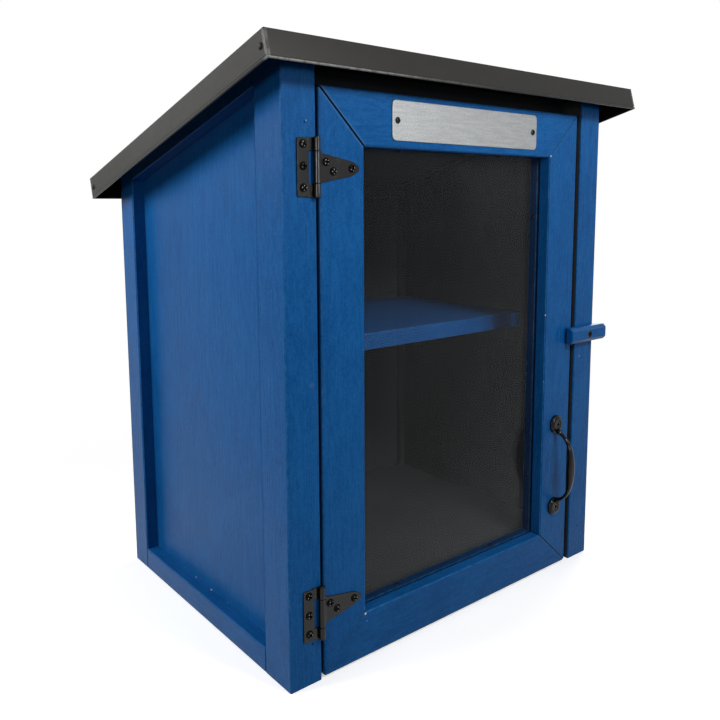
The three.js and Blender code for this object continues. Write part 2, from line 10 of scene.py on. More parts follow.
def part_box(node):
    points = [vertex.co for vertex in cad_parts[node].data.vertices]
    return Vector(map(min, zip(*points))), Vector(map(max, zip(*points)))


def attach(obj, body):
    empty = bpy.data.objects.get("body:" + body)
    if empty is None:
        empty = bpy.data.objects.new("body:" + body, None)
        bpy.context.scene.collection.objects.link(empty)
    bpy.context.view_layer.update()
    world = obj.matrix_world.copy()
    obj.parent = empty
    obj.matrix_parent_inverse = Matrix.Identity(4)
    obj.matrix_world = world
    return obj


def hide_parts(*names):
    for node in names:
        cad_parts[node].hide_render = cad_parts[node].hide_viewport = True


# Street book exchange box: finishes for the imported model's pieces, and finer pieces for its hardware.
# Metres, and the front faces -Y.

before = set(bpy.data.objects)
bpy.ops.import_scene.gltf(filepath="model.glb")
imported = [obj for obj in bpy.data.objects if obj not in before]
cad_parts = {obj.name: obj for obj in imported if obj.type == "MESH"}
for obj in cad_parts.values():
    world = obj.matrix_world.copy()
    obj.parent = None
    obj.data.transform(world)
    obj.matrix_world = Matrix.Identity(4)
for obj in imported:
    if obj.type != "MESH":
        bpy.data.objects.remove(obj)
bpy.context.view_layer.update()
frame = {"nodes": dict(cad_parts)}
nodes = frame["nodes"]
mm = 0.001
print("stage 1: frame loaded,", len(nodes), "pieces")


# Lengths given in millimetres: several, or a dictionary of them
def inMm(*values):
    return tuple(value * mm for value in values)


def lengths(**values):
    return {name: value * mm for name, value in values.items()}


# Settings of a piece: a dictionary whose values are read as attributes too
class Settings(dict):
    __getattr__ = dict.__getitem__


# Camera: a pinhole whose place, turn and focal length were fitted to the photograph
photoCamera = Settings(
    place=(-0.58054, -0.70716, 0.44534), azimuth=-39.10, down=7.29, roll=-0.25, focalPixels=751.36,
    centrePixels=(360.25, 301.84), framePixels=720, sensorMm=36, clip=(0.01, 100),
)


# The camera's back axis comes from azimuth and tilt, right is level and square to it, up is their
# cross product, and the roll turns right and up about the back axis
def setCamera(settings):
    azimuth, tilt, roll = (math.radians(settings[key]) for key in ("azimuth", "down", "roll"))
    back = Vector((math.sin(azimuth) * math.cos(tilt), -math.cos(azimuth) * math.cos(tilt), math.sin(tilt)))
    right = Vector((math.cos(azimuth), math.sin(azimuth), 0))
    up = back.cross(right)
    rolledRight = right * math.cos(roll) + up * math.sin(roll)
    rolledUp = up * math.cos(roll) - right * math.sin(roll)
    data = bpy.data.cameras.new("photoCamera")
    size = settings.framePixels
    data.sensor_width = settings.sensorMm
    data.lens = settings.focalPixels / size * settings.sensorMm
    data.shift_x = (size / 2 - settings.centrePixels[0]) / size
    data.shift_y = (settings.centrePixels[1] - size / 2) / size
    data.clip_start, data.clip_end = settings.clip
    camera = bpy.data.objects.new("photoCamera", data)
    bpy.context.scene.collection.objects.link(camera)
    turn = Matrix((rolledRight, rolledUp, back)).transposed()
    camera.matrix_world = Matrix.Translation(Vector(settings.place)) @ turn.to_4x4()
    bpy.context.scene.camera = camera


setCamera(photoCamera)
bpy.context.scene.view_settings.view_transform = "Standard"
print("stage 2: camera set")


# Surfaces: points closer than this are one point, and a plate's rounded edge has this many points
weldDistance = 1e-7
edgePoints = 5
xAxis, zAxis = np.array([1.0, 0.0, 0.0]), np.array([0.0, 0.0, 1.0])


# Grids of points as one mesh: each cell is a quad, columns close round, rows that shrink to a point
# are welded, and faces are turned outwards
def surfaceMesh(name, grids):
    corners, faces, start = [], [], 0
    for grid in grids:
        rows, columns = grid.shape[:2]
        index = start + np.arange(rows * columns).reshape(rows, columns)
        following = np.roll(index, -1, axis=1)
        quads = np.stack([index[:-1], following[:-1], following[1:], index[1:]], axis=-1)
        corners.append(grid.reshape(-1, 3))
        faces.append(quads.reshape(-1, 4))
        start += rows * columns
    mesh = bpy.data.meshes.new(name)
    mesh.from_pydata(np.concatenate(corners).tolist(), [], np.concatenate(faces).tolist())
    work = bmesh.new()
    work.from_mesh(mesh)
    bmesh.ops.remove_doubles(work, verts=work.verts, dist=weldDistance)
    bmesh.ops.recalc_face_normals(work, faces=work.faces)
    work.to_mesh(mesh)
    work.free()
    mesh.polygons.foreach_set("use_smooth", np.ones(len(mesh.polygons), bool))
    return mesh


# Large flat faces keep their own normal where they meet small rounded ones
def evenNormals(piece):
    even = piece.modifiers.new("evenNormals", "WEIGHTED_NORMAL")
    even.mode = "FACE_AREA"


def meshObject(name, grids, material):
    made = bpy.data.objects.new(name, surfaceMesh(name, grids))
    bpy.context.scene.collection.objects.link(made)
    made.data.materials.append(material)
    return made


# A new piece made of grids, which rides on a body; one named fine stands for the CAD node of that name
def addPiece(name, grids, body, material):
    piece = meshObject(name, grids, material)
    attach(piece, body)
    if name.endswith("_fine"):
        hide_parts(name.removesuffix("_fine"))
    return piece


# Directions square to an axis, evenly round it: side * cos angle + other * sin angle
def ringAbout(axis, sides):
    side = zAxis if abs(axis[2]) < 0.5 else xAxis
    angle = np.linspace(0, 2 * np.pi, sides, endpoint=False)
    return np.cos(angle)[:, None] * side + np.sin(angle)[:, None] * np.cross(axis, side)


# A profile of radius and height turned about an axis: point = centre + axis * height
# + direction square to the axis * radius
def turnedGrid(profile, centre, axis, sides):
    profile = np.asarray(profile, float)
    axis = np.asarray(axis, float)
    radius, height = profile[:, 0][:, None, None], profile[:, 1][:, None, None]
    return np.asarray(centre, float) + height * axis + radius * ringAbout(axis, sides)[None]


# Profile of a dome, or of its edge: radius * (flat + (1 - flat) * cos), low + (high - low) * sin
def domeProfile(radius, low, high, steps, flat=0):
    turn = np.linspace(0, np.pi / 2, steps)
    reach = radius * (flat + (1 - flat) * np.cos(turn))
    return np.stack([reach, low + (high - low) * np.sin(turn)], axis=1)


# Corners of an outline rounded off: between two points on its sides, each set back from the corner,
# the outline follows a parabola that touches both sides
def roundedOutline(points, setback, steps=6):
    points = np.asarray(points, float)
    before = np.roll(points, 1, axis=0) - points
    after = np.roll(points, -1, axis=0) - points
    setback = np.broadcast_to(np.asarray(setback, float), (len(points),))[:, None]
    start = points + before / np.linalg.norm(before, axis=1)[:, None] * setback
    end = points + after / np.linalg.norm(after, axis=1)[:, None] * setback
    share = np.linspace(0, 1, steps)[None, :, None]
    curve = (
        (1 - share) ** 2 * start[:, None]
        + 2 * share * (1 - share) * points[:, None]
        + share ** 2 * end[:, None]
    )
    return curve.reshape(-1, 2)


# A flat plate against the front, from an outline in x and z: rings of the outline, drawn in at the
# plate's back and front by a quarter circle of the edge's radius, and closed at its middle
def plateGrid(outline, back, front, edge):
    ahead = np.roll(outline, -1, axis=0) - np.roll(outline, 1, axis=0)
    normal = np.stack([ahead[:, 1], -ahead[:, 0]], axis=1)
    normal /= np.linalg.norm(normal, axis=1)[:, None]
    middle = (outline.min(axis=0) + outline.max(axis=0)) / 2
    outward = np.sign(np.sum(normal * (outline - middle), axis=1).sum())
    turn = np.linspace(0, np.pi / 2, edgePoints)
    inset = np.concatenate([edge * (1 - np.sin(turn)), edge * (1 - np.cos(turn))])
    height = np.concatenate([back - edge * (1 - np.cos(turn)), front + edge * (1 - np.sin(turn))])
    rings = outline[None] - outward * normal[None] * inset[:, None, None]
    spot = np.broadcast_to(middle, (1, len(outline), 2))
    rings = np.concatenate([spot, rings, spot])
    height = np.concatenate([[back], height, [front]])
    y = np.broadcast_to(height[:, None], rings.shape[:2])
    return np.stack([rings[..., 0], y, rings[..., 1]], axis=-1)


# A section carried along a path: point = path + across * first + along the other direction * second,
# with both ends drawn together to the path
def carriedGrid(path, across, other, first, second):
    first = np.broadcast_to(first, (len(path), first.shape[-1]))
    second = np.broadcast_to(second, (len(path), second.shape[-1]))
    grid = path[:, None] + across[:, None] * first[..., None] + other[:, None] * second[..., None]
    ends = [np.broadcast_to(path[i], grid[i].shape)[None] for i in (0, -1)]
    return np.concatenate([ends[0], grid, ends[1]])


# Finishes

# One output of a node: sums, products and powers of it add Math nodes
class Signal:
    def __init__(self, nodes, socket):
        self.nodes = nodes
        self.socket = socket

    # Another output of the same node
    def __getitem__(self, name):
        return Signal(self.nodes, self.socket.node.outputs[name])

    def maths(self, operation, *values):
        return self.nodes.node("Math", dict(enumerate(values)), operation=operation)

    def joined(self, operation, other):
        return self.maths(operation, self, other)

    def __rsub__(self, other):
        return self.maths("SUBTRACT", other, self)

    def __abs__(self):
        return self.maths("ABSOLUTE", self)

    __add__ = __radd__ = partialmethod(joined, "ADD")
    __sub__ = partialmethod(joined, "SUBTRACT")
    __mul__ = __rmul__ = partialmethod(joined, "MULTIPLY")
    __pow__ = partialmethod(joined, "POWER")
    larger = partialmethod(joined, "MAXIMUM")

    # 0 below the first value and 1 above the second, with a smooth step between them
    def step(self, low, high):
        sockets = {"Value": self, "From Min": low, "From Max": high}
        return self.nodes.node("MapRange", sockets, interpolation_type="SMOOTHSTEP")

    # 1 below the first value and 0 above the second
    def fade(self, low, high):
        return 1 - self.step(low, high)


# A tree of nodes as it is made: sockets take signals or values, by name or number, and a new node
# gives the first of its outputs that is in use
class Nodes:
    def __init__(self, tree):
        self.tree = tree
        self.tree.nodes.clear()

    def node(self, kind, sockets=None, **settings):
        made = self.tree.nodes.new("ShaderNode" + kind)
        for key, value in settings.items():
            setattr(made, key, value)
        for key, value in (sockets or {}).items():
            if isinstance(key, int):
                socket = made.inputs[key]
            else:
                socket = next(s for s in made.inputs if s.name == key and s.enabled)
            if isinstance(value, Signal):
                self.tree.links.new(value.socket, socket)
            elif socket.type == "RGBA" and len(value) == 3:
                socket.default_value = (*value, 1)
            else:
                socket.default_value = value
        return Signal(self, next((s for s in made.outputs if s.enabled), None))

    # 1 for what the camera sees, in gloss or through the sheet too, and 0 for bounced light
    def seen(self):
        path = self.node("LightPath")
        return path["Is Camera Ray"].larger(path["Is Glossy Ray"]).larger(path["Is Transmission Ray"])


# One material as it is made
class Finish(Nodes):
    def __init__(self, name):
        self.material = bpy.data.materials.new(name)
        self.material.use_nodes = True
        super().__init__(self.material.node_tree)
        self.place = self.node("TexCoord")["Object"]
        apart = self.node("SeparateXYZ", {"Vector": self.place})
        self.x, self.y, self.z = apart["X"], apart["Y"], apart["Z"]

    def mix(self, factor, first, second):
        return self.node("Mix", {"Factor": factor, "A": first, "B": second}, data_type="RGBA")

    def stretched(self, scale, turn=(0, 0, 0)):
        return self.node("Mapping", {"Vector": self.place, "Scale": scale, "Rotation": turn})

    # Noise on the given coordinates, or on the object's
    def noise(self, kind, vector=None):
        return self.node("TexNoise", {
            "Vector": vector or self.place, "Scale": kind[0], "Detail": kind[1], "Roughness": kind[2],
            "Distortion": kind[4] if len(kind) > 4 else 0,
        })

    # Noise along an axis: coordinates are 1 across it, and 1 / stretch along it
    def grain(self, kind, axis):
        scale = tuple(1 / kind[3] if name == axis else 1 for name in "xyz")
        return self.noise(kind, self.stretched(scale))

    def bump(self, height, strength, distance):
        return self.node("Bump", {"Height": height, "Strength": strength, "Distance": distance})

    def close(self, shader):
        self.node("OutputMaterial", {"Surface": shader})
        return self.material

    # Closes the material, with the relief, level and tint of its settings where they are given
    def principled(self, settings, colour, roughness, height=None, metallic=0):
        sockets = {"Base Color": colour, "Roughness": roughness, "Metallic": metallic}
        if height:
            sockets["Normal"] = self.bump(height, settings.relief, settings.depth)
        for key, name in (("level", "Specular IOR Level"), ("tint", "Specular Tint")):
            if key in settings:
                sockets[name] = settings[key]
        return self.close(self.node("BsdfPrincipled", sockets))


# Sum of signals, each times its share
def weighed(signals, shares):
    total = signals[0] * shares[0]
    for signal, share in zip(signals[1:], shares[1:]):
        total = total + signal * share
    return total


def toned(colour, tone):
    return tuple(c * tone for c in colour)


# A noise is its scale, detail, roughness, stretch and distortion. Shares are of the signals that make up
# the tone or the relief, and edges are the two ends of a smooth step.
bluePaint = Settings(
    # worn is the paler colour of worn edges, also used for the painted highlight beside the mitres
    deep=(0.0020, 0.0570, 0.1960), pale=(0.0070, 0.0870, 0.2680), worn=(0.0500, 0.1700, 0.3700),
    gap=(0.0010, 0.0030, 0.0090), tint=(0.55, 0.70, 1, 1), level=0.09, roughness=0.35,
    streakSpread=0.16, blotchSpread=0.12, relief=0.60, depth=0.40 * mm,
    streaks=(520, 4, 0.6, 18), growth=(55, 2, 0.5, 11, 0.6), growthRings=62,
    speckle=(420, 3, 0.7, 3), clouds=(95, 3, 0.6, 2.5), blotches=(9, 4, 0.6),
    stipple=(1700, 2, 0.5), grit=(760, 1, 0.5), toneShares=(0.20, 0.08, 0.04, 0.26, 0.16, 0.26),
    toneEdges=(0.40, 0.60), reliefShares=(0.42, 0.24, 0.20, 0.14), rag=(160, 3, 0.7),
    ragEdges=(0.30, 0.80), wearReach=inMm(0.5, 2), wear=0.42, halo=2.1, haloShare=0.45, gapCore=0.35,
    gapEnd=0.5 * mm, chipRim=(900, 2, 0.6), rimDepth=1.6 * mm, chipEdges=(0.7, 1.2),
    insideSmooth=0.96, insideRougher=0.30,
)
insidePaint = Settings(
    deep=(0.0330, 0.0335, 0.0345), pale=(0.0480, 0.0488, 0.0500), roughness=0.60, streakSpread=0.2,
    level=0.20, relief=0.10, depth=0.1 * mm, streaks=(480, 4, 0.6, 16), blotches=(11, 4, 0.6),
    toneShares=(0.5, 0.5), toneEdges=(0.32, 0.70),
)
# Where the paint turns dark: inside the cabinet, and beside the closed door on the posts' inner faces,
# the header and the sill
insideEdges = Settings(
    side=inMm(203, 203.4), rear=inMm(154.7, 155.1), front=inMm(-142.3, -141.9), floor=inMm(24.6, 24.9),
    doorSide=inMm(193.1, 193.5), doorFront=inMm(-169, -167.8), doorRear=inMm(-121, -120),
)


def insideMask(finish):
    within = abs(finish.x).fade(*insideEdges.side) * finish.y.fade(*insideEdges.rear)
    within = within * finish.y.step(*insideEdges.front) * finish.z.step(*insideEdges.floor)
    beside = abs(finish.x).fade(*insideEdges.doorSide) * finish.y.step(*insideEdges.doorFront)
    return within.larger(beside * finish.y.fade(*insideEdges.doorRear))


# Timber under paint. Streaks and growth rings run along the grain, and blotches are broad. An edge is
# two planes, and the paint is thin where a point is near both. Chips are spots with a ragged rim.
def paintedTimber(name, axis, edges, chips, seams, twoTone, tone):
    paint = bluePaint
    finish = Finish(name)
    streaks = finish.grain(paint.streaks, axis)
    wave = finish.grain(paint.growth, axis) * paint.growthRings
    rings = wave.maths("SINE", wave) * 0.5 + 0.5
    speckle, clouds = (finish.grain(paint[kind], axis) for kind in ("speckle", "clouds"))
    blotches, stipple, grit = (finish.noise(paint[kind]) for kind in ("blotches", "stipple", "grit"))
    shade = weighed((blotches, streaks, rings, speckle, clouds, grit), paint.toneShares)
    shade = shade.step(*paint.toneEdges)
    height = weighed((streaks, rings, speckle, stipple), paint.reliefShares)
    # tone darkens the colours: painted shade on the glazing beads and the header
    colour = finish.mix(shade, toned(paint.deep, tone), toned(paint.pale, tone))
    roughness = paint.roughness + (streaks - 0.5) * paint.streakSpread
    roughness = roughness + (blotches - 0.5) * paint.blotchSpread
    sides = {"x": finish.x, "y": finish.y, "z": finish.z}
    if edges:
        rag = finish.noise(paint.rag).step(*paint.ragEdges)
        worn = None
        for (sideA, atA), (sideB, atB) in edges:
            gap = abs(sides[sideA] - atA).larger(abs(sides[sideB] - atB))
            near = gap.fade(*paint.wearReach)
            worn = near if worn is None else worn.larger(near)
        colour = finish.mix(worn * rag * paint.wear, colour, paint.worn)
    # Mitres: an open joint painted dark, with a band of the paler colour on both sides, a painted highlight
    for start, end, width in seams:
        halo = seamMask(finish, start, end, width * paint.halo) * paint.haloShare
        colour = finish.mix(halo, colour, paint.worn)
        colour = finish.mix(seamMask(finish, start, end, width), colour, paint.gap)
    if chips:
        rim = (finish.noise(paint.chipRim) - 0.5) * paint.rimDepth
        for *centre, radius, kind in chips:
            sockets = {0: finish.place, 1: inMm(*centre)}
            away = finish.node("VectorMath", sockets, operation="DISTANCE")
            spot = (away + rim).fade(*(radius * edge * mm for edge in paint.chipEdges))
            colour = finish.mix(spot * markKinds[kind][1], colour, markKinds[kind][0])
    if twoTone:
        within = insideMask(finish)
        # the dark inside colours are darkened by tone too: painted shade on the header
        dark = finish.mix(shade, toned(insidePaint.deep, tone), toned(insidePaint.pale, tone))
        colour = finish.mix(within, colour, dark)
        height = height * (1 - within * paint.insideSmooth)
        roughness = roughness + within * paint.insideRougher
    return finish.principled(paint, colour, roughness, height)


# Marks on the paint: their colour, and how much of it shows
markKinds = {
    "bare": ((0.52, 0.53, 0.50), 1),
    "pale": ((0.16, 0.30, 0.50), 0.8),
    "dent": ((0.0010, 0.012, 0.040), 0.9),
    "smudge": ((0.045, 0.120, 0.260), 0.45),
}


# A dark line between two points of the front: distance across the line, within its length
def seamMask(finish, start, end, width):
    runX, runZ = end[0] - start[0], end[1] - start[1]
    length = math.hypot(runX, runZ)
    unitX, unitZ = runX / length, runZ / length
    x = finish.x - start[0]
    z = finish.z - start[1]
    across = abs(x * unitZ - z * unitX)
    down = x * unitX + z * unitZ
    end = bluePaint.gapEnd
    within = down.step(-end, end) * down.fade(length - end, length + end)
    return across.fade(width * bluePaint.gapCore, width) * within


# Plain timber under dark paint, as inside the cabinet
def darkTimber(name, axis):
    paint = insidePaint
    finish = Finish(name)
    streaks = finish.grain(paint.streaks, axis)
    shade = weighed((streaks, finish.noise(paint.blotches)), paint.toneShares)
    colour = finish.mix(shade.step(*paint.toneEdges), paint.deep, paint.pale)
    roughness = paint.roughness + (streaks - 0.5) * paint.streakSpread
    return finish.principled(paint, colour, roughness, streaks)


# Roof cap: a folded tray whose lower edge is rolled, with a lip on each side of every corner
roof = Settings(
    pitch=math.radians(14.9), bendSteps=7, groove=inMm(0.35, 1.45), hem=inMm(2.2, 1.2),
    hemDegrees=(-55, 185), hemSteps=17, cornerSteps=7, lipSteps=24, lipSides=20, lipTaper=14,
    **lengths(
        length=406.57, halfWidth=258.7, fascia=24.8, bend=0.5, setIn=0.25, sheet=1, roll=1.3,
        hemTop=19.8, flatEdge=0.4, straight=0.5, innerBend=0.6, grooveTop=1.7, plumbCorner=1.2,
        leastCorner=0.25, lipRadius=0.85, lipAway=2.7, lipTop=1.2, lipLess=3.4,
    ),
)
roofSine, roofCosine = math.sin(roof.pitch), math.cos(roof.pitch)
capLow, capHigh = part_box("roof_cap")
roofOrigin = np.array([0, capLow.y + roof.fascia * roofSine, capHigh.z])
roofStart = roofOrigin[1] * roofCosine - roofOrigin[2] * roofSine
roofPlane = roofOrigin[1] * roofSine + roofOrigin[2] * roofCosine
roofAlong = np.array([0, roofCosine, -roofSine])
roofUp = np.array([0, roofSine, roofCosine])


# The last five edges are where the rolled hem, the lips and the front left end
powderCoat = Settings(
    # the pale colour and the shares of the hem, the front left and the lips are a painted highlight
    colour=(0.0066, 0.0063, 0.0057), dusty=(0.0135, 0.0130, 0.0118), rubbed=(0.2400, 0.2400, 0.2350),
    tint=(1, 0.985, 0.94, 1), level=0.17, roughness=0.40, dustSpread=0.18, swellSpread=0.10,
    rubSmooth=0.18, pebbles=(1100, 2, 0.5), swells=(1100 / 7, 2, 0.5), reliefShares=(0.7, 0.3),
    relief=0.20, depth=0.12 * mm, rolledSmooth=0.6, dust=(26, 5, 0.65), dustEdges=(0.42, 0.82),
    scuffs=(330, 4, 0.7), scuffScale=(1, 0.16, 1), scuffTurn=(0, 0.5, 0.9),
    scuffEdges=(0.66, 0.80), filmShares=(0.35, 0.30), rub=(190, 3, 0.6), rubEdges=(0.30, 0.62),
    rubLeast=0.45, rubMore=0.55, hemRub=0.03, frontLeftRub=0.85, lipRub=0.42,
    rolledEdges=inMm(-23.4, -22.9), lipEdges=inMm(-3.4, -3.1), lipTopEdges=inMm(-1.6, -1),
    leftEdges=inMm(-250, 40), frontEdges=inMm(2, 9),
)


# Powder coat: pebbled relief from two sizes of noise, with dust and scuff marks. Height and distance down
# the slope are dot products with the roof's directions. The rolled lower edge, most at the front left,
# and the lips at the corners are smoother, and paler in patches: a painted highlight.
def powderCoated(name):
    coat = powderCoat
    finish = Finish(name)
    height = finish.y * roofSine + finish.z * roofCosine - roofPlane
    down = finish.y * roofCosine - finish.z * roofSine - roofStart
    toEnd = abs(down - roof.length / 2) - roof.length / 2
    toSide = abs(finish.x) - roof.halfWidth
    rolled = height.fade(*coat.rolledEdges)
    lip = toEnd.step(*coat.lipEdges) * toSide.step(*coat.lipEdges)
    lip = lip * height.fade(*coat.lipTopEdges)
    frontLeft = finish.x.fade(*coat.leftEdges) * down.fade(*coat.frontEdges)
    # Painted highlight: paler patches on the rolled hem, most at the front left, and on the corner lips
    rub = coat.rubLeast + finish.noise(coat.rub).step(*coat.rubEdges) * coat.rubMore
    rubbed = rolled * (coat.hemRub + frontLeft * coat.frontLeftRub)
    rubbed = rubbed.larger(lip * coat.lipRub) * rub
    pebbles, swells, dust = (finish.noise(coat[kind]) for kind in ("pebbles", "swells", "dust"))
    scuffs = finish.noise(coat.scuffs, finish.stretched(coat.scuffScale, coat.scuffTurn))
    film = weighed((dust.step(*coat.dustEdges), scuffs.step(*coat.scuffEdges)), coat.filmShares)
    relief = weighed((pebbles, swells), coat.reliefShares) * (1 - rolled * coat.rolledSmooth)
    roughness = coat.roughness + film * coat.dustSpread + (swells - 0.5) * coat.swellSpread
    colour = finish.mix(rubbed, finish.mix(film, coat.colour, coat.dusty), coat.rubbed)
    return finish.principled(coat, colour, roughness - rolled.larger(lip) * coat.rubSmooth, relief)


glossyBlack = Settings(
    colour=(0.0022, 0.0022, 0.0022), dusty=(0.0075, 0.0075, 0.0070), peel=(900, 2, 0.5),
    dust=(60, 5, 0.65), dustEdges=(0.50, 0.80), dustSpread=0.10, peelSpread=0.04, relief=0.08,
    depth=0.08 * mm,
)


# Smooth black finish: nearly black, with a weak orange-peel relief and a little dust
def glossBlack(name, roughness, level):
    coat = Settings(glossyBlack, level=level)
    finish = Finish(name)
    peel = finish.noise(coat.peel)
    dust = finish.noise(coat.dust).step(*coat.dustEdges)
    roughness = roughness + dust * coat.dustSpread + (peel - 0.5) * coat.peelSpread
    return finish.principled(coat, finish.mix(dust, coat.colour, coat.dusty), roughness, peel)


wornDrive = Settings(
    black=(0.0020, 0.0020, 0.0020), bright=(0.90, 0.90, 0.88), patches=(300, 1, 0.5),
    patchEdges=(0.36, 0.46), wornDepth=0.45 * mm, roughness=0.16, wornSpread=0.10, level=0.05,
)


# Black screw head whose drive is worn to metal in patches in front of the given plane
def wornScrew(name, plane):
    coat = wornDrive
    finish = Finish(name)
    patches = finish.noise(coat.patches).step(*coat.patchEdges)
    worn = finish.y.fade(plane, plane + coat.wornDepth) * patches
    colour = finish.mix(worn, coat.black, coat.bright)
    return finish.principled(coat, colour, coat.roughness + worn * coat.wornSpread, metallic=worn)


brushedSteel = Settings(
    light=(0.340, 0.350, 0.355), dark=(0.200, 0.208, 0.214), metallic=0.8, hairlines=(1100, 3, 0.70),
    hairScale=(0.55, 1, 1), bands=(420, 3, 0.6), bandScale=(0.10, 1, 1),
    smudges=(34, 4, 0.6), toneShares=(0.75, 0.25), toneEdges=(0.34, 0.66), roughness=0.50,
    hairSpread=0.22, smudgeSpread=0.14, relief=0.12, depth=0.06 * mm,
)


# Brushed sheet: short thin streaks along x change tone, gloss and relief
def brushed(name):
    sheet = brushedSteel
    finish = Finish(name)
    hairlines = finish.noise(sheet.hairlines, finish.stretched(sheet.hairScale))
    bands = finish.noise(sheet.bands, finish.stretched(sheet.bandScale))
    smudges = finish.noise(sheet.smudges)
    tone = weighed((hairlines, bands), sheet.toneShares).step(*sheet.toneEdges)
    roughness = sheet.roughness + (hairlines - 0.5) * sheet.hairSpread
    roughness = roughness + (smudges - 0.5) * sheet.smudgeSpread
    colour = finish.mix(tone, sheet.dark, sheet.light)
    return finish.principled(sheet, colour, roughness, hairlines, sheet.metallic)


pane = Settings(
    see=(0.955, 0.965, 0.970), haze=(0.55, 0.57, 0.60), hazeRoughness=0.7, mirror=(1, 1, 1),
    mirrorRoughness=0.03, wipes=(48, 4, 0.6), wipeScale=(1, 1, 0.3), wipeTurn=(0, 0.6, 0),
    wipeEdges=(0.52, 0.80), dust=(7, 4, 0.6), dustEdges=(0.45, 0.75), veilLeast=0.004,
    wipeVeil=0.004, dustVeil=0.004, mirrorLeast=0.004, mirrorMore=0.50, mirrorPower=5, facingBlend=0.5,
)


# Clear sheet: see-through, under a thin veil of dust and wiping marks and a weak mirror that grows at
# low angles. Mirror = least + more * facing ^ power.
def clearSheet(name):
    finish = Finish(name)
    wipes = finish.noise(pane.wipes, finish.stretched(pane.wipeScale, pane.wipeTurn))
    dust = finish.noise(pane.dust)
    veil = (
        pane.veilLeast + wipes.step(*pane.wipeEdges) * pane.wipeVeil
        + dust.step(*pane.dustEdges) * pane.dustVeil
    )
    clear = finish.node("BsdfTransparent", {"Color": pane.see})
    haze = finish.node("BsdfPrincipled", {"Base Color": pane.haze, "Roughness": pane.hazeRoughness})
    gloss = finish.node("BsdfGlossy", {"Color": pane.mirror, "Roughness": pane.mirrorRoughness})
    facing = finish.node("LayerWeight", {"Blend": pane.facingBlend})["Facing"]
    mirror = pane.mirrorLeast + facing ** pane.mirrorPower * pane.mirrorMore
    body = finish.node("MixShader", {0: veil, 1: clear, 2: haze})
    return finish.close(finish.node("MixShader", {0: mirror, 1: body, 2: gloss}))


def dress(name, material):
    slots = nodes[name].data.materials
    slots.clear()
    slots.append(material)


# Edges of a member that runs along one axis: the four corners of its cross-section
def cornersOf(name, axis):
    low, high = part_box(name)
    first, second = [i for i in range(3) if "xyz"[i] != axis]
    return [
        (("xyz"[first], a), ("xyz"[second], b))
        for a in (low[first], high[first])
        for b in (low[second], high[second])
    ]


# Timber under blue paint: the axis that its grain runs along, the radius of its rounded edges in
# millimetres, and whether the paint is worn thin at them
timber = (
    ("z", 0.9, True, ("front_left_post", "front_right_post")),
    ("z", 1.2, True, ("rear_left_post", "rear_right_post")),
    ("z", 0, False, ("left_side_panel", "right_side_panel", "rear_panel")),
    ("z", 1, True, ("door_left_stile", "door_right_stile")),
    ("z", 0.8, True, ("left_glazing_bead", "right_glazing_bead")),
    ("y", 0.9, True, ("left_bottom_rail", "right_bottom_rail")),
    ("y", 0.8, False, ("left_top_rail", "right_top_rail")),
    ("x", 0.9, True, ("front_sill", "rear_bottom_rail")),
    ("x", 0.8, False, ("front_header", "rear_top_rail")),
    ("x", 1.2, True, ("shelf",)),
    ("x", 1, True, ("door_top_rail", "door_bottom_rail")),
    ("x", 0.8, True, ("top_glazing_bead", "bottom_glazing_bead")),
    ("x", 0.45, False, ("turn_button",)),
)
# Places of the marks in millimetres: centre, radius and kind
paintMarks = {
    "front_left_post": (
        (-204.8, -170.7, 516.5, 1.3, "dent"), (-203.3, -170.7, 40.3, 1.5, "dent"),
        (-200.4, -170.7, 286.3, 2.6, "smudge"), (-203.2, -170.7, 517.6, 0.8, "pale"),
    ),
    "front_right_post": (
        (206.6, -170.7, 258.1, 1.4, "dent"), (209.2, -170.7, 39.1, 1.4, "dent"),
        (202, -170.7, 260.5, 2.4, "smudge"), (204.6, -170.7, 259.6, 0.8, "pale"),
    ),
    "door_left_stile": ((-139.5, -170.6, 53.3, 1.2, "pale"),),
    "door_right_stile": (
        (133.6, -170.6, 317.6, 1.4, "bare"), (133.8, -170.6, 309.4, 0.7, "pale"),
        (133.6, -170.6, 340.5, 0.9, "pale"), (133.6, -170.6, 298, 0.9, "pale"),
        (133.8, -170.6, 238.5, 1, "pale"), (133.8, -170.6, 231, 0.8, "pale"),
        (135.8, -170.6, 501, 1.4, "bare"),
    ),
    "door_bottom_rail": ((-139.3, -170.6, 47, 1.2, "bare"), (-137.6, -170.6, 39, 0.8, "pale")),
    "left_bottom_rail": (
        (-214.6, 42.3, 25, 1.1, "bare"), (-214.6, 5.8, 25, 1.3, "bare"),
        (-214.6, -30.4, 25, 1, "pale"), (-214.6, 71, 25, 0.8, "pale"),
    ),
}
# Mitre lines, from the door's corner to the opening's, and the open gap's half width
mitres = {
    "topLeft": (inMm(-189.5, 548.6), inMm(-139, 498.8), 1.70 * mm),
    "topRight": (inMm(184.5, 548.6), inMm(134, 498.8), 0.45 * mm),
    "bottomLeft": (inMm(-189.5, 1.9), inMm(-139, 48.4), 0.40 * mm),
    "bottomRight": (inMm(184.5, 1.9), inMm(134, 48.4), 0.80 * mm),
}
mitresOf = {
    "door_left_stile": ("topLeft", "bottomLeft"), "door_right_stile": ("topRight", "bottomRight"),
    "door_top_rail": ("topLeft", "topRight"), "door_bottom_rail": ("bottomLeft", "bottomRight"),
}
